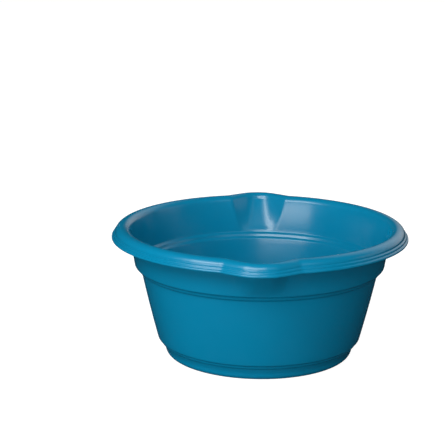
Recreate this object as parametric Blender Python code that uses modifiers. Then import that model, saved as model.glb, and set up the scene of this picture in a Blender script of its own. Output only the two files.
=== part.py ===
# A round wash basin with two pouring spouts, moulded in one piece.
# Blender 4.5, metres, +Z up. The origin is on the table, under the middle of the base.
# The spouts point along +Y and -Y.
import math

import bpy

# Sizes are taken on the show face: the inside of the bowl, the top of the rim and the outside of its lip.
# The wall is added behind that face.
wall = 0.002

# Rim: a rounded crown, two narrow beads outside and below it, and a hollow underside
rim_radius = 0.190
rim_top = 0.1685
crown_top_inset = 0.0143
crown_top_radius = rim_radius - crown_top_inset
crown_rounding = 0.0091
crown_edge_lean = math.radians(15)
lip_drop = 0.0145
lip_height = rim_top - lip_drop
bead_count = 2
bead_height = 0.0033
bead_reach = 0.0022
bead_draft = 0.0003
bead_shoulder = 0.0008

# Collar: the band between the rim and the upper ledge, which flares a little towards the rim
collar_inset = 0.0312
collar_radius = rim_radius - collar_inset
collar_height = 0.0490
collar_draft = 0.0052

# Upper ledge: a double step, on which a second basin stacks
upper_ledge_width = 0.0082
upper_ledge_height = 0.0076
upper_ledge_top = rim_top - collar_height
upper_ledge_bottom = upper_ledge_top - upper_ledge_height
waist_radius = collar_radius - upper_ledge_width

# Tapered wall, bowed out a little, and the lower double step
wall_taper = 0.0210
wall_bow = 0.0006
wall_foot_radius = waist_radius - wall_taper
lower_ledge_width = 0.0059
lower_ledge_height = 0.0063
lower_ledge_bottom = 0.0171
lower_ledge_top = lower_ledge_bottom + lower_ledge_height
heel_radius = wall_foot_radius - lower_ledge_width

# Foot: a rounded heel, a flat ring that the basin stands on, and a base raised inside the ring
heel_taper = 0.0041
heel_rounding_radius = heel_radius - heel_taper
heel_rounding_height = 0.0062
heel_rounding_width = 0.0048
foot_edge_radius = heel_rounding_radius - heel_rounding_width
foot_edge_width = 0.0046
base_recess = 0.003
base_edge_slope = 0.003

# Gate well: the shallow dimple in the middle of the base, where the plastic was injected
gate_well_radius = 0.0075
gate_well_rise = 0.001
gate_well_slope = 0.0015

# Spouts: the collar pushed out into a channel that starts at the upper ledge, and the rim pushed out with it
spout_channel_reach = 0.0197
spout_lip_reach = 0.0148

# Half widths of a spout at the foot of its channel, at the channel's top and at the lip. Inside the nose the
# push is full, and at the edge it ends in a crease.
spout_foot_nose = 0.008
spout_foot_edge = 0.026
spout_channel_nose = 0
spout_channel_edge = 0.0385
spout_lip_nose = 0.006
spout_lip_edge = 0.0495

# Shares of the way from the nose to the edge: the side bends up to the first, then is straight up to the
# second, and eases out into the crease from there.
spout_ramp_share = 0.45
spout_crease_share = 0.93

# Each ledge rises in two steps. The shares are of its width and of its height, from its lower edge up.
double_step_shares = ((0, 0), (0.42, 0.30), (0.58, 0.70), (1, 1))

# Facets
turn_steps = 80
spout_bunching_share = 0.6
crown_inner_steps = 3
crown_outer_steps = 4
flare_steps = 3
wall_steps = 4
heel_steps = 2
merge_distance = 0.00001

basin_colour = (0.0, 0.195, 0.347, 1)
basin_roughness = 0.3


def clear_scene():
    for obj in list(bpy.data.objects):
        bpy.data.objects.remove(obj, do_unlink=True)


def quarter_curve(start, end, steps):
    # A quarter of an ellipse from start to end, both (radius, height), without its first point.
    # It leaves start level and reaches end upright.
    points = []
    for i in range(1, steps + 1):
        angle = i / steps * math.pi / 2
        points.append((
            start[0] + (end[0] - start[0]) * math.sin(angle),
            start[1] + (end[1] - start[1]) * (1 - math.cos(angle)),
        ))
    return points


def double_step(inner_radius, outer_radius, bottom, top):
    width, height = outer_radius - inner_radius, top - bottom
    return [(inner_radius + width * w, bottom + height * h) for w, h in double_step_shares]


def base_points():
    floor = base_recess + wall
    ring_inner_radius = foot_edge_radius - foot_edge_width
    heel_top = (heel_rounding_radius, wall + heel_rounding_height)
    return [
        (0, floor + gate_well_rise),
        (gate_well_radius, floor + gate_well_rise),
        (gate_well_radius + gate_well_slope, floor),
        (ring_inner_radius - base_edge_slope, floor),
        (ring_inner_radius, wall),
        (foot_edge_radius, wall),
        *quarter_curve((foot_edge_radius, wall), heel_top, heel_steps),
    ]


def wall_points():
    # Up the wall between the two ledges, without its ends. The bow is a parabola.
    points = []
    for i in range(1, wall_steps):
        t = i / wall_steps
        radius = wall_foot_radius + (waist_radius - wall_foot_radius) * t + 4 * wall_bow * t * (1 - t)
        points.append((radius, lower_ledge_top + (upper_ledge_bottom - lower_ledge_top) * t))
    return points


def crown_edge():
    # Where the collar meets the crown's inner rounding.
    inward = crown_rounding * math.cos(crown_edge_lean)
    down = crown_rounding * (1 - math.sin(crown_edge_lean))
    return (crown_top_radius - inward, rim_top - down)


def flare_points():
    # From the top of the upper ledge to the crown's edge, as a slight curve.
    start = (collar_radius, upper_ledge_top)
    end = crown_edge()
    bend_radius = collar_radius + collar_draft
    bend = (bend_radius, end[1] - (end[0] - bend_radius) / math.tan(crown_edge_lean))
    points = []
    for i in range(1, flare_steps):
        t = i / flare_steps
        points.append(tuple(
            (1 - t) ** 2 * a + 2 * t * (1 - t) * b + t ** 2 * c for a, b, c in zip(start, bend, end)
        ))
    return points


def crown_points():
    # Round the crown from its inner edge to its top, then down to the first bead.
    inner = []
    for i in range(crown_inner_steps + 1):
        angle = math.pi - crown_edge_lean - i / crown_inner_steps * (math.pi / 2 - crown_edge_lean)
        inner.append((
            crown_top_radius + crown_rounding * math.cos(angle),
            rim_top - crown_rounding * (1 - math.sin(angle)),
        ))
    foot = (rim_radius - bead_count * bead_reach, lip_height + bead_count * bead_height)
    return [*inner, *quarter_curve(inner[-1], foot, crown_outer_steps)]


def bead_points():
    # The beads, each standing out from the one above, down to the lip.
    points = []
    for bead in reversed(range(bead_count)):
        outer = rim_radius - bead * bead_reach
        bottom = lip_height + bead * bead_height
        points.append((outer - bead_draft, bottom + bead_height - bead_shoulder))
        points.append((outer, bottom))
    return points


def profile_points():
    # The show face, as (radius, height), from the middle of the base to the lip.
    return [
        *base_points(),
        *double_step(heel_radius, wall_foot_radius, lower_ledge_bottom, lower_ledge_top),
        *wall_points(),
        *double_step(waist_radius, collar_radius, upper_ledge_bottom, upper_ledge_top),
        *flare_points(),
        *crown_points(),
        *bead_points(),
    ]


def between(start, end, share):
    return start + (end - start) * share


def side_push(share):
    # Across the side of a spout, from 1 at the nose to 0 at the edge.
    ramp, crease = spout_ramp_share, spout_crease_share
    bent = min(share, ramp)
    straight = min(max(share - ramp, 0), crease - ramp)
    past = max(share - crease, 0)
    fall = bent ** 2 / (2 * ramp) + straight + past - past ** 2 / (2 * (1 - crease))
    return 1 - 2 * fall / (1 + crease - ramp)


def spout_offset(x, radius, height):
    # How far a point of the turned face moves outwards, along Y.
    edge_radius, edge_height = crown_edge()
    rise = 1 if radius >= edge_radius else (height - upper_ledge_top) / (edge_height - upper_ledge_top)
    rise = min(max(rise, 0), 1)
    over_rim = min(max((radius - edge_radius) / (rim_radius - edge_radius), 0), 1)
    nose = between(between(spout_foot_nose, spout_channel_nose, rise), spout_lip_nose, over_rim)
    edge = between(between(spout_foot_edge, spout_channel_edge, rise), spout_lip_edge, over_rim)
    reach = between(spout_channel_reach, spout_lip_reach, over_rim) * rise
    share = min(max((abs(x) - nose) / (edge - nose), 0), 1)
    return reach * side_push(share)


def turned_face():
    # The show face as a surface of revolution, open at the lip.
    points = [(radius, 0, height) for radius, height in profile_points()]
    mesh = bpy.data.meshes.new("profile")
    mesh.from_pydata(points, [(i, i + 1) for i in range(len(points) - 1)], [])
    profile = bpy.data.objects.new("profile", mesh)
    bpy.context.scene.collection.objects.link(profile)
    screw = profile.modifiers.new("turn", "SCREW")
    screw.axis = "Z"
    screw.angle = 2 * math.pi
    screw.steps = screw.render_steps = turn_steps
    screw.use_merge_vertices = True
    screw.merge_threshold = merge_distance
    graph = bpy.context.evaluated_depsgraph_get()
    turned = bpy.data.meshes.new_from_object(profile.evaluated_get(graph))
    bpy.data.objects.remove(profile, do_unlink=True)
    return turned


def press_spouts(mesh):
    # Bunches the facets towards the spouts, then pushes the spouts out on both sides.
    for vertex in mesh.vertices:
        x, y, height = vertex.co
        radius = math.hypot(x, y)
        if radius < merge_distance:
            continue
        from_spout = math.atan2(x, y)
        angle = from_spout - spout_bunching_share / 2 * math.sin(2 * from_spout)
        x, y = radius * math.sin(angle), radius * math.cos(angle)
        vertex.co = (x, y + math.copysign(spout_offset(x, radius, height), y), height)


def plastic(name, colour, roughness):
    material = bpy.data.materials.new(name)
    material.use_nodes = True
    shader = material.node_tree.nodes["Principled BSDF"]
    shader.inputs["Base Color"].default_value = colour
    shader.inputs["Roughness"].default_value = roughness
    shader.inputs["Metallic"].default_value = 0
    return material


def make_basin(collection):
    mesh = turned_face()
    press_spouts(mesh)
    mesh.name = "basin_shell"
    mesh.materials.append(plastic("polypropylene", basin_colour, basin_roughness))
    basin = bpy.data.objects.new("basin_shell", mesh)
    collection.objects.link(basin)
    shell = basin.modifiers.new("wall", "SOLIDIFY")
    shell.thickness = wall
    shell.offset = -1
    shell.use_even_offset = True
    mesh.shade_smooth()
    return basin


clear_scene()
basin_parts = bpy.data.collections.new("wash_basin")
bpy.context.scene.collection.children.link(basin_parts)
make_basin(basin_parts)
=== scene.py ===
import math

import bpy
from mathutils import Matrix, Vector


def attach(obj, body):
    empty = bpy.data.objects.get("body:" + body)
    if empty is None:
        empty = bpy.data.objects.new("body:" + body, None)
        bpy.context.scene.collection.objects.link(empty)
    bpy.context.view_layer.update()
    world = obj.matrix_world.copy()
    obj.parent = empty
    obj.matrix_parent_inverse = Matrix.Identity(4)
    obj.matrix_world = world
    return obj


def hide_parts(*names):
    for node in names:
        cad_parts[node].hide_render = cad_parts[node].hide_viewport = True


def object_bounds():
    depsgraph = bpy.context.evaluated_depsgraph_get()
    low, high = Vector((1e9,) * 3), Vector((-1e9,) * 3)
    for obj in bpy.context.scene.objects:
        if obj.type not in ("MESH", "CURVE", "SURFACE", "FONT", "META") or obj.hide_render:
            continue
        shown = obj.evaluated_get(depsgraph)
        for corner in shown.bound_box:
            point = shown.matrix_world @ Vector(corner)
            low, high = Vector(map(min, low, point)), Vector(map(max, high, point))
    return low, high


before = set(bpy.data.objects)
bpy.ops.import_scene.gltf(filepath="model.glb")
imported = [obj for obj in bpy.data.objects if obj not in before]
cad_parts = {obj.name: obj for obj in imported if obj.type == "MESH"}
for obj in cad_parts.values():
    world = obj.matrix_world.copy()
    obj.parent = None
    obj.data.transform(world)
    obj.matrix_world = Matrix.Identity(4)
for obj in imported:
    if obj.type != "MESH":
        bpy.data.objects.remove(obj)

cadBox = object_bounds()


# Small helpers

def toLinear(hexColour):
    # sRGB hex such as "007A9F" to the linear values that Blender's sockets take
    channels = [int(hexColour[i:i + 2], 16) / 255 for i in (0, 2, 4)]
    return (*[c / 12.92 if c <= 0.04045 else ((c + 0.055) / 1.055) ** 2.4 for c in channels], 1)


def addNode(tree, kind, settings=None, **inputs):
    # A node with its settings, and its inputs given as values or as sockets to link. An input is named in
    # camelCase words or, where names repeat, by its place as in0, in1 and so on.
    node = tree.nodes.new(kind)
    for name, value in (settings or {}).items():
        setattr(node, name, value)
    for name, value in inputs.items():
        place = name[2:]
        if name.startswith("in") and place.isdigit():
            socket = node.inputs[int(place)]
        else:
            wanted = name.lower()
            socket = next(s for s in node.inputs if s.enabled and s.name.replace(" ", "").lower() == wanted)
        if isinstance(value, bpy.types.NodeSocket):
            tree.links.new(value, socket)
        else:
            socket.default_value = value
    return node


def link(obj):
    bpy.context.scene.collection.objects.link(obj)
    return obj


# The camera stands where the photograph was taken from, with its lens

cameraSetup = {
    "place": (-0.0254, -1.7098, 0.580),
    "turn": -0.69,  # degrees to the right of +Y
    "tilt": 13.538,  # degrees down
    "roll": 0.299,  # degrees
    "lens": 110.25, "sensor": 36,  # millimetres
    "shift": 0.5 / 447,  # half a pixel
}


def placeCamera(setup):
    data = bpy.data.cameras.new("camera")
    data.sensor_width = setup["sensor"]
    data.sensor_fit = "HORIZONTAL"
    data.lens = setup["lens"]
    data.shift_x = -setup["shift"]
    data.shift_y = setup["shift"]
    camera = link(bpy.data.objects.new("camera", data))
    turn, tilt, roll = (math.radians(setup[key]) for key in ("turn", "tilt", "roll"))
    forward = Vector((math.sin(turn) * math.cos(tilt), math.cos(turn) * math.cos(tilt), -math.sin(tilt)))
    right = Vector((math.cos(turn), -math.sin(turn), 0))
    up = right.cross(forward)
    across = right * math.cos(roll) + up * math.sin(roll)
    upright = up * math.cos(roll) - right * math.sin(roll)
    axes = Matrix((across, upright, -forward)).transposed()
    camera.matrix_world = Matrix.Translation(setup["place"]) @ axes.to_4x4()
    bpy.context.scene.camera = camera


placeCamera(cameraSetup)
print("camera placed")


# The basin's section: its show face from the middle of the floor to the lip, and the back of its wall

basin = {
    "wall": 0.002,
    "rimRadius": cadBox[1][0], "rimTop": cadBox[1][2],  # 0.190 and 0.1685
    "crownTopRadius": 0.1757, "crownRounding": 0.0091, "crownLean": math.radians(15),
    "beads": 2, "beadHeight": 0.0033, "beadReach": 0.0022, "beadDraft": 0.0003, "beadShoulder": 0.0008,
    "lipHeight": 0.154,
    "collarRadius": 0.1588, "collarDraft": 0.0052,
    "upperLedge": (0.1506, 0.1119, 0.1195),  # waist radius, bottom, top
    "wallFootRadius": 0.1296, "wallBow": 0.0006, "wallSteps": 12,
    "lowerLedge": (0.1237, 0.0171, 0.0234),  # heel radius, bottom, top
    "footEdgeRadius": 0.1148, "footEdgeWidth": 0.0046,
    "heelRounding": (0.1196, 0.0062),
    "baseRecess": 0.003, "baseEdgeSlope": 0.003,
    "gateWell": (0.0075, 0.001, 0.0015),  # radius, rise, slope
    # share of the ledge outwards, share upwards and rounding, for each corner of its two steps
    "ledgeSteps": ((0, 0, 0.0028), (0.42, 0.30, 0.001), (0.58, 0.70, 0.001), (1, 1, 0.0028)),
    "cornerRounding": 0.0006, "beadRounding": 0.0013, "beadEdgeRounding": 0.001,
    "footRounding": 0.0012, "roundedShare": 0.42,  # the most of a side that its rounding takes
    "heelSteps": 8, "collarSteps": 14, "crownSteps": 12, "cornerSteps": 4, "longestEdge": 0.008,
    "turnSteps": 320, "weld": 0.00001,  # closes the seam of the turn and the poles on the axis
}


def quarterCurve(start, end, steps):
    # A quarter of an ellipse from start, where it is level, to end, where it is upright
    run, rise = end[0] - start[0], end[1] - start[1]
    turns = [i / steps * math.pi / 2 for i in range(1, steps + 1)]
    return [(start[0] + run * math.sin(t), start[1] + rise * (1 - math.cos(t))) for t in turns]


def ledge(foot, head):
    # The two steps of a stacking ledge, from its foot up to its head: soft at the ends, crisper between them
    run, rise = head[0] - foot[0], head[1] - foot[1]
    corners = basin["ledgeSteps"]
    return [(foot[0] + run * out, foot[1] + rise * up, rounding) for out, up, rounding in corners]


def crownEdge():
    # Where the curve of the collar ends and the crown's rounding begins
    lean, rounding = basin["crownLean"], basin["crownRounding"]
    radius = basin["crownTopRadius"] - rounding * math.cos(lean)
    return radius, basin["rimTop"] - rounding * (1 - math.sin(lean))


# The show face in four stretches, each a list of (radius, height, corner rounding)

def floorAndHeel():
    # From the gate well in the middle over the floor and the foot ring, and up the heel
    b = basin
    corner, soft = b["cornerRounding"], b["footRounding"]
    floor, footEdge = b["baseRecess"] + b["wall"], b["footEdgeRadius"]
    wellRadius, wellRise, wellSlope = b["gateWell"]
    ringRadius = footEdge - b["footEdgeWidth"]
    heelRadius, heelHeight = b["heelRounding"]
    face = [
        (0, floor + wellRise, 0),
        (wellRadius, floor + wellRise, corner), (wellRadius + wellSlope, floor, corner),
        (ringRadius - b["baseEdgeSlope"], floor, soft), (ringRadius, b["wall"], soft),
        (footEdge, b["wall"], 0),
    ]
    heel = quarterCurve((footEdge, b["wall"]), (heelRadius, b["wall"] + heelHeight), b["heelSteps"])
    return face + [(radius, height, 0) for radius, height in heel]


def wallAndLedges():
    # The lower ledge, the wall, which bows out a little, and the upper ledge
    b = basin
    low, lowBottom, lowTop = b["lowerLedge"]
    high, highBottom, highTop = b["upperLedge"]
    foot, steps = b["wallFootRadius"], b["wallSteps"]
    face = ledge((low, lowBottom), (foot, lowTop))
    for i in range(1, steps):
        t = i / steps
        bow = 4 * b["wallBow"] * t * (1 - t)
        face.append((foot + (high - foot) * t + bow, lowTop + (highBottom - lowTop) * t, 0))
    return face + ledge((high, highBottom), (b["collarRadius"], highTop))


def collarAndCrown():
    # A curve up the collar that meets the crown without a crease, and the crown's rounding to its top
    b = basin
    lean, rounding, edge = b["crownLean"], b["crownRounding"], crownEdge()
    bendRadius = b["collarRadius"] + b["collarDraft"]
    bend = (bendRadius, edge[1] - (edge[0] - bendRadius) / math.tan(lean))
    start = (b["collarRadius"], b["upperLedge"][2])
    face = []
    for i in range(1, b["collarSteps"]):
        t = i / b["collarSteps"]
        place = [(1 - t) ** 2 * p + 2 * t * (1 - t) * q + t ** 2 * r for p, q, r in zip(start, bend, edge)]
        face.append((*place, 0))
    for i in range(b["crownSteps"] + 1):
        angle = math.pi - lean - i / b["crownSteps"] * (math.pi / 2 - lean)
        radius = b["crownTopRadius"] + rounding * math.cos(angle)
        face.append((radius, b["rimTop"] - rounding * (1 - math.sin(angle)), 0))
    return face


def rimAndBeads():
    # Outwards over the rim, and down over its beads to the lip
    b = basin
    height, reach = b["beadHeight"], b["beadReach"]
    foot = (b["rimRadius"] - b["beads"] * reach, b["lipHeight"] + b["beads"] * height)
    over = quarterCurve((b["crownTopRadius"], b["rimTop"]), foot, b["crownSteps"])
    face = [(*place, 0) for place in over[:-1]] + [(*foot, b["beadRounding"])]
    for bead in reversed(range(b["beads"])):
        outer, bottom = b["rimRadius"] - bead * reach, b["lipHeight"] + bead * height
        face.append((outer - b["beadDraft"], bottom + height - b["beadShoulder"], b["beadRounding"]))
        face.append((outer, bottom, b["beadEdgeRounding"]))
    return face


def spoutShare(radius, height):
    # (rise, rim): how far up the collar the point is, and how far out over the rim, both from 0 to 1
    edgeRadius, edgeHeight = crownEdge()
    ledgeTop = basin["upperLedge"][2]
    rise = 1 if radius >= edgeRadius else (height - ledgeTop) / (edgeHeight - ledgeTop)
    rim = (radius - edgeRadius) / (basin["rimRadius"] - edgeRadius)
    return min(max(rise, 0), 1), min(max(rim, 0), 1)


def backFace(face):
    # The show face moved through the wall, with mitred corners
    wall, back = basin["wall"], []
    for i, (radius, height, corner, *shares) in enumerate(face):
        sides = []
        for j, k in ((i - 1, i), (i, i + 1)):
            if j >= 0 and k < len(face):
                run, rise = face[k][0] - face[j][0], face[k][1] - face[j][1]
                length = math.hypot(run, rise)
                sides.append((rise / length, -run / length))
        (ax, ay), (bx, by) = sides[0], sides[-1]
        reach = wall / (1 + ax * bx + ay * by)
        back.append((radius + (ax + bx) * reach, height + (ay + by) * reach, corner, *shares))
    back[0] = (0, *back[0][1:])
    return back


def rounded(points):
    # Each corner is replaced by a short curve, which leaves part of the sides beside it straight
    out = [(*points[0][:2], *points[0][3:])]
    for before, here, after in zip(points, points[1:], points[2:]):
        corner, shares, middle = here[2], here[3:], Vector(here[:2])
        toBefore, toAfter = Vector(before[:2]) - middle, Vector(after[:2]) - middle
        most = basin["roundedShare"] * min(toBefore.length, toAfter.length)
        cut = min(corner * math.tan((math.pi - toBefore.angle(toAfter)) / 2), most)
        start, end = middle + toBefore.normalized() * cut, middle + toAfter.normalized() * cut
        steps = basin["cornerSteps"] if corner else 0
        for i in range(steps + 1):
            t = i / max(steps, 1)
            out.append((*(start * (1 - t) ** 2 + middle * 2 * t * (1 - t) + end * t ** 2), *shares))
    out.append((*points[-1][:2], *points[-1][3:]))
    return out


def divided(points):
    # Long edges in equal parts, so that the faces turned from them stay well shaped
    out = points[:1]
    for a, b in zip(points, points[1:]):
        parts = math.ceil(math.dist(a[:2], b[:2]) / basin["longestEdge"])
        out += [[p + (q - p) * i / parts for p, q in zip(a, b)] for i in range(1, parts + 1)]
    return out


def sectionMesh():
    # The whole section as a line of edges, with each point's spout shares kept as attributes
    face = floorAndHeel() + wallAndLedges() + collarAndCrown() + rimAndBeads()
    show = [(*point, *spoutShare(*point[:2])) for point in face]
    line = divided(rounded(show + backFace(show)[::-1]))
    mesh = bpy.data.meshes.new("section")
    mesh.from_pydata([(p[0], 0, p[1]) for p in line], [(i, i + 1) for i in range(len(line) - 1)], [])
    for name, place in (("rise", 2), ("rim", 3)):
        mesh.attributes.new(name, "FLOAT", "POINT").data.foreach_set("value", [p[place] for p in line])
    print("section drawn,", len(line), "points")
    return mesh


# The two spouts: how far the rim and the channel below it are pushed out, and their width at the foot of the
# channel, at its top and at the lip. From the middle, the push is full up to Nose and ends at Half Width.

spout = {
    "Bunching": 0.275,  # columns drawn in towards the spouts
    "Rim Reach": 0.0148, "Channel Reach": 0.0197,
    "Foot Nose": 0.008, "Foot Half Width": 0.026,
    "Channel Nose": 0.0, "Channel Half Width": 0.0385,
    "Lip Nose": 0.006, "Lip Half Width": 0.0495,
}
spoutSide = {"rampShare": 0.45, "creaseShare": 0.93, "points": 16}


def sidePoints():
    # Across half a spout: it rounds off from the nose, runs straight and ends in a crease
    ramp, crease = spoutSide["rampShare"], spoutSide["creaseShare"]
    places = [ramp * i / spoutSide["points"] for i in range(spoutSide["points"] + 1)]
    places += [crease + (1 - crease) * i / spoutSide["points"] for i in range(spoutSide["points"] + 1)]
    points = []
    for place in places:
        past = max(place - crease, 0)
        onRamp, between = min(place, ramp) ** 2 / (2 * ramp), min(max(place - ramp, 0), crease - ramp)
        fall = onRamp + between + past - past ** 2 / (2 * (1 - crease))
        points.append((place, 1 - 2 * fall / (1 + crease - ramp)))
    return points


# Geometry Nodes turn the section round the axis and press the two spouts out of it

def turningTree(inputs):
    tree = bpy.data.node_groups.new("turned basin", "GeometryNodeTree")
    tree.interface.new_socket("Geometry", in_out="INPUT", socket_type="NodeSocketGeometry")
    tree.interface.new_socket("Geometry", in_out="OUTPUT", socket_type="NodeSocketGeometry")
    for name, kind in inputs.items():
        tree.interface.new_socket(name, in_out="INPUT", socket_type=kind)
    given = addNode(tree, "NodeGroupInput").outputs
    section, steps = given["Geometry"], given["Turn Steps"]
    multiply, divide, scaleAdd = ({"operation": name} for name in ("MULTIPLY", "DIVIDE", "MULTIPLY_ADD"))

    # A grid with a column for each step of the turn and a row for each point of the section
    size = addNode(tree, "GeometryNodeAttributeDomainSize", {"component": "MESH"}, geometry=section)
    count = size.outputs["Point Count"]
    columns = addNode(tree, "ShaderNodeMath", {"operation": "ADD"}, in0=steps, in1=1).outputs[0]
    grid = addNode(tree, "GeometryNodeMeshGrid", verticesX=columns, verticesY=count).outputs["Mesh"]
    index = addNode(tree, "GeometryNodeInputIndex").outputs[0]
    row = addNode(tree, "ShaderNodeMath", {"operation": "MODULO"}, in0=index, in1=count).outputs[0]
    nth = addNode(tree, "ShaderNodeMath", {"operation": "SUBTRACT"}, in0=index, in1=row).outputs[0]
    column = addNode(tree, "ShaderNodeMath", divide, in0=nth, in1=count).outputs[0]

    # Each grid point reads its place in the section and its two spout shares
    atRow = {"geometry": section, "index": row}
    place = addNode(tree, "GeometryNodeInputPosition").outputs[0]
    vector = {"data_type": "FLOAT_VECTOR"}
    place = addNode(tree, "GeometryNodeSampleIndex", vector, value=place, **atRow).outputs[0]
    shares = []
    for name in ("rise", "rim"):
        number = {"data_type": "FLOAT"}
        share = addNode(tree, "GeometryNodeInputNamedAttribute", number, name=name).outputs[0]
        share = addNode(tree, "GeometryNodeSampleIndex", number, value=share, **atRow).outputs[0]
        shares.append(share)
    rise, rim = shares

    # The turn, with the columns closer together near the spouts at +Y and -Y
    step = addNode(tree, "ShaderNodeMath", divide, in0=2 * math.pi, in1=steps).outputs[0]
    turn = addNode(tree, "ShaderNodeMath", multiply, in0=column, in1=step).outputs[0]
    double = addNode(tree, "ShaderNodeMath", multiply, in0=turn, in1=2).outputs[0]
    wave = addNode(tree, "ShaderNodeMath", {"operation": "SINE"}, in0=double).outputs[0]
    angle = addNode(tree, "ShaderNodeMath", scaleAdd, in0=wave, in1=given["Bunching"], in2=turn).outputs[0]
    aboutZ = {"rotation_type": "Z_AXIS"}
    turned = addNode(tree, "ShaderNodeVectorRotate", aboutZ, vector=place, angle=angle).outputs[0]
    across = addNode(tree, "ShaderNodeSeparateXYZ", vector=turned).outputs

    # The spout's nose and half width change up the collar and again over the rim
    widths = []
    for part in ("Nose", "Half Width"):
        foot, channel, lip = (given[f"{level} {part}"] for level in ("Foot", "Channel", "Lip"))
        width = addNode(tree, "ShaderNodeMix", in0=rise, in2=foot, in3=channel).outputs[0]
        width = addNode(tree, "ShaderNodeMix", in0=rim, in2=width, in3=lip).outputs[0]
        widths.append(width)
    nose, edge = widths

    # Between them a curve gives the spout's side its shape
    offset = addNode(tree, "ShaderNodeMath", {"operation": "ABSOLUTE"}, in0=across["X"]).outputs[0]
    share = addNode(tree, "ShaderNodeMapRange", in0=offset, in1=nose, in2=edge).outputs[0]
    side = addNode(tree, "ShaderNodeFloatCurve", value=share)
    curve = side.mapping.curves[0].points
    first, *between, last = sidePoints()
    curve[0].location, curve[1].location = first, last
    for point in between:
        curve.new(*point)
    side.mapping.update()

    # The push outwards: as far as the channel or the rim reaches, times how much of it each point takes
    channelReach, rimReach = given["Channel Reach"], given["Rim Reach"]
    push = addNode(tree, "ShaderNodeMix", in0=rim, in2=channelReach, in3=rimReach).outputs[0]
    outwards = addNode(tree, "ShaderNodeMath", {"operation": "SIGN"}, in0=across["Y"]).outputs[0]
    for factor in (rise, side.outputs[0], outwards):
        push = addNode(tree, "ShaderNodeMath", multiply, in0=push, in1=factor).outputs[0]
    push = addNode(tree, "ShaderNodeCombineXYZ", y=push).outputs[0]

    shell = addNode(tree, "GeometryNodeSetPosition", geometry=grid, position=turned, offset=push).outputs[0]
    shell = addNode(tree, "GeometryNodeFlipFaces", mesh=shell).outputs[0]  # the turned grid faces inwards
    shell = addNode(tree, "GeometryNodeMergeByDistance", geometry=shell, distance=basin["weld"]).outputs[0]
    shell = addNode(tree, "GeometryNodeSetShadeSmooth", geometry=shell).outputs[0]
    shell = addNode(tree, "GeometryNodeRealizeInstances", geometry=shell).outputs[0]
    shell = addNode(tree, "GeometryNodeSetMaterial", geometry=shell, material=given["Material"]).outputs[0]
    addNode(tree, "NodeGroupOutput", geometry=shell)
    return tree


# Injection-moulded polypropylene, coloured through: an even teal with a soft satin shine. The mould's
# polish leaves it not quite smooth, so highlights have soft edges.

plastic = {
    "darkTone": "00759A", "lightTone": "007BA1",
    "ior": 1.53,  # polypropylene has 1.49, and the photograph's highlights are a little stronger
    "roughness": (0.19, 0.25),
    "clouds": (0.06, 3.0), "satin": (0.025, 4.0), "peel": (0.004, 1.0),  # metres across, and detail
    "satinRange": (0.3, 0.7), "peelStrength": 0.3, "peelDepth": 0.00004,
}


def mouldedPolypropylene():
    material = bpy.data.materials.new("polypropylene, injection-moulded")
    material.use_nodes = True
    tree = material.node_tree
    shader = tree.nodes["Principled BSDF"]
    shader.inputs["IOR"].default_value = plastic["ior"]
    shader.inputs["Metallic"].default_value = 0
    place = addNode(tree, "ShaderNodeTexCoord").outputs["Object"]
    patterns = []
    for name in ("clouds", "satin", "peel"):
        across, detail = plastic[name]
        noise = addNode(tree, "ShaderNodeTexNoise", vector=place, scale=1 / across, detail=detail)
        patterns.append(noise.outputs[0])
    clouds, satin, peel = patterns

    # Pigment not quite evenly mixed: broad clouds, one tone into the other
    dark, light = toLinear(plastic["darkTone"]), toLinear(plastic["lightTone"])
    tone = addNode(tree, "ShaderNodeMix", {"data_type": "RGBA"}, in0=clouds, in6=dark, in7=light).outputs[2]
    tree.links.new(tone, shader.inputs["Base Color"])

    # Satin: the polish of the mould wanders a little from patch to patch
    low, high = plastic["satinRange"]
    smooth, rough = plastic["roughness"]
    satin = addNode(tree, "ShaderNodeMapRange", in0=satin, in1=low, in2=high, in3=smooth, in4=rough)
    tree.links.new(satin.outputs[0], shader.inputs["Roughness"])

    # Orange peel: real peel is about 1 mm across, too fine to show at this distance, so it is drawn coarser
    strength, depth = plastic["peelStrength"], plastic["peelDepth"]
    bump = addNode(tree, "ShaderNodeBump", strength=strength, distance=depth, height=peel).outputs[0]
    tree.links.new(bump, shader.inputs["Normal"])
    return material


def makeBasin():
    holder = link(bpy.data.objects.new("basinBody", sectionMesh()))
    values = {"Turn Steps": basin["turnSteps"], **spout, "Material": mouldedPolypropylene()}
    kinds = {name: "NodeSocketFloat" for name in values}
    kinds.update({"Turn Steps": "NodeSocketInt", "Material": "NodeSocketMaterial"})
    turning = holder.modifiers.new("turned basin", "NODES")
    turning.node_group = turningTree(kinds)
    for item in turning.node_group.interface.items_tree:
        if item.in_out == "INPUT" and item.name in values:
            turning[item.identifier] = values[item.name]
    graph = bpy.context.evaluated_depsgraph_get()
    mesh = bpy.data.meshes.new_from_object(holder.evaluated_get(graph))
    holder.modifiers.remove(turning)
    holder.data = mesh
    mesh.name = "basinBody"
    return holder


body = makeBasin()
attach(body, "root")
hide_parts("basin_shell")
print("basin turned,", len(body.data.polygons), "faces")


# A white studio: a table top that runs out of sight, and a white surround. Two wide soft boxes stand at the
# front left, one above the other, with weak ones further left and at the right, and one behind the basin. In
# the plastic's shine the table and the room are dim, apart from a white backdrop behind it on the right.

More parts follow.
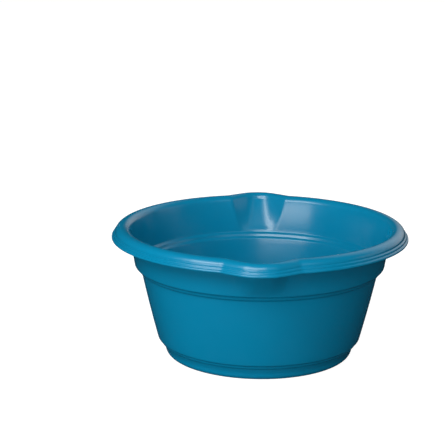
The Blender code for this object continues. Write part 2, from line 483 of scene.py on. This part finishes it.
studio = {
    "floorHalf": 40.0, "floorColour": "8A8A8A", "floorRoughness": 0.9, "floorGlow": 0.94,
    "surround": 0.315, "dimShine": 0.01, "floorShine": 0.01,
    # degrees to the right of +Y, degrees up, and degrees from there to its edge and to full white
    "backdrop": (36, 20, 34, 12),
    "target": (0, 0, 0.12), "boxesAway": 2.1,
    # degrees to the left of the front, degrees up, width and height in metres, watts
    "softBoxes": {
        "key soft box": (26, 38, 1.87, 0.89, 34),
        "low soft box": (26, 10, 1.87, 0.59, 17.4),
        "outer soft box": (58, 42, 0.59, 1.4, 5),
        "right soft box": (-30, 40, 1.0, 1.0, 1.5),
        "fill soft box": (-95, 20, 1.0, 1.0, 1.7),
        "back soft box": (170, 12, 1.9, 0.6, 22),
    },
}


def raysInto(tree):
    # (seen, shine): 1 for the camera's rays, straight or through something clear, and 1 for a shine's rays
    rays = addNode(tree, "ShaderNodeLightPath").outputs
    straight, through = rays["Is Camera Ray"], rays["Is Transmission Ray"]
    seen = addNode(tree, "ShaderNodeMath", {"operation": "MAXIMUM"}, in0=straight, in1=through).outputs[0]
    return seen, rays["Is Glossy Ray"]


def whiteFloor():
    material = bpy.data.materials.new("white table top, matt")
    material.use_nodes = True
    tree = material.node_tree
    shader = tree.nodes["Principled BSDF"]
    shader.inputs["Roughness"].default_value = studio["floorRoughness"]
    shader.inputs["Base Color"].default_value = toLinear(studio["floorColour"])
    seen, shine = raysInto(tree)
    level = studio["floorGlow"]
    glow = addNode(tree, "ShaderNodeMath", {"operation": "MULTIPLY"}, in0=seen, in1=level).outputs[0]
    glow = addNode(tree, "ShaderNodeEmission", strength=glow).outputs[0]
    lit = addNode(tree, "ShaderNodeAddShader", in0=shader.outputs[0], in1=glow).outputs[0]
    dim = addNode(tree, "ShaderNodeEmission", strength=studio["floorShine"]).outputs[0]
    floor = addNode(tree, "ShaderNodeMixShader", in0=shine, in1=lit, in2=dim).outputs[0]
    tree.links.new(floor, tree.nodes["Material Output"].inputs["Surface"])
    material.cycles.emission_sampling = "NONE"  # the glow lights nothing, so no light is looked for there
    return material


def makeFloor():
    half = studio["floorHalf"]
    mesh = bpy.data.meshes.new("floor")
    corners = [(-half, -half, 0), (half, -half, 0), (half, half, 0), (-half, half, 0)]
    mesh.from_pydata(corners, [], [(0, 1, 2, 3)])
    mesh.materials.append(whiteFloor())
    link(bpy.data.objects.new("floor", mesh))


def softBox(name):
    left, up, width, height, power = studio["softBoxes"][name]
    left, up, target = math.radians(left), math.radians(up), Vector(studio["target"])
    level = math.cos(up)
    way = Vector((-math.sin(left) * level, -math.cos(left) * level, math.sin(up)))
    lamp = bpy.data.lights.new(name, "AREA")
    lamp.shape = "RECTANGLE"
    lamp.size, lamp.size_y = width, height
    lamp.energy = power
    box = link(bpy.data.objects.new(name, lamp))
    box.location = target + studio["boxesAway"] * way
    box.rotation_euler = (target - box.location).to_track_quat("-Z", "Y").to_euler()
    box.visible_camera = False
    box.visible_glossy = name != "back soft box"  # seen in the shine, it would draw a streak along the rim


def whiteSurround():
    world = bpy.data.worlds.new("white surround")
    bpy.context.scene.world = world
    world.use_nodes = True
    tree = world.node_tree
    seen, shine = raysInto(tree)

    # What the shine meets: white in the middle of the backdrop, and dim past its edge
    right, up, edge, full = (math.radians(degrees) for degrees in studio["backdrop"])
    middle = (math.sin(right) * math.cos(up), math.cos(right) * math.cos(up), math.sin(up))
    way = addNode(tree, "ShaderNodeTexCoord").outputs["Generated"]
    near = addNode(tree, "ShaderNodeVectorMath", {"operation": "DOT_PRODUCT"}, in0=way, in1=middle)
    levels = {"in1": math.cos(edge), "in2": math.cos(full), "in3": studio["dimShine"], "in4": 1.0}
    white = addNode(tree, "ShaderNodeMapRange", in0=near.outputs["Value"], **levels).outputs[0]

    # The surround lights the basin evenly, and the camera sees it white
    strength = addNode(tree, "ShaderNodeMix", in0=shine, in2=studio["surround"], in3=white).outputs[0]
    strength = addNode(tree, "ShaderNodeMix", in0=seen, in2=strength, in3=1.0).outputs[0]
    tree.links.new(strength, tree.nodes["Background"].inputs["Strength"])
    tree.nodes["Background"].inputs["Color"].default_value = (1, 1, 1, 1)


makeFloor()
for name in studio["softBoxes"]:
    softBox(name)
whiteSurround()
bpy.context.scene.view_settings.view_transform = "Standard"
print("studio lit")
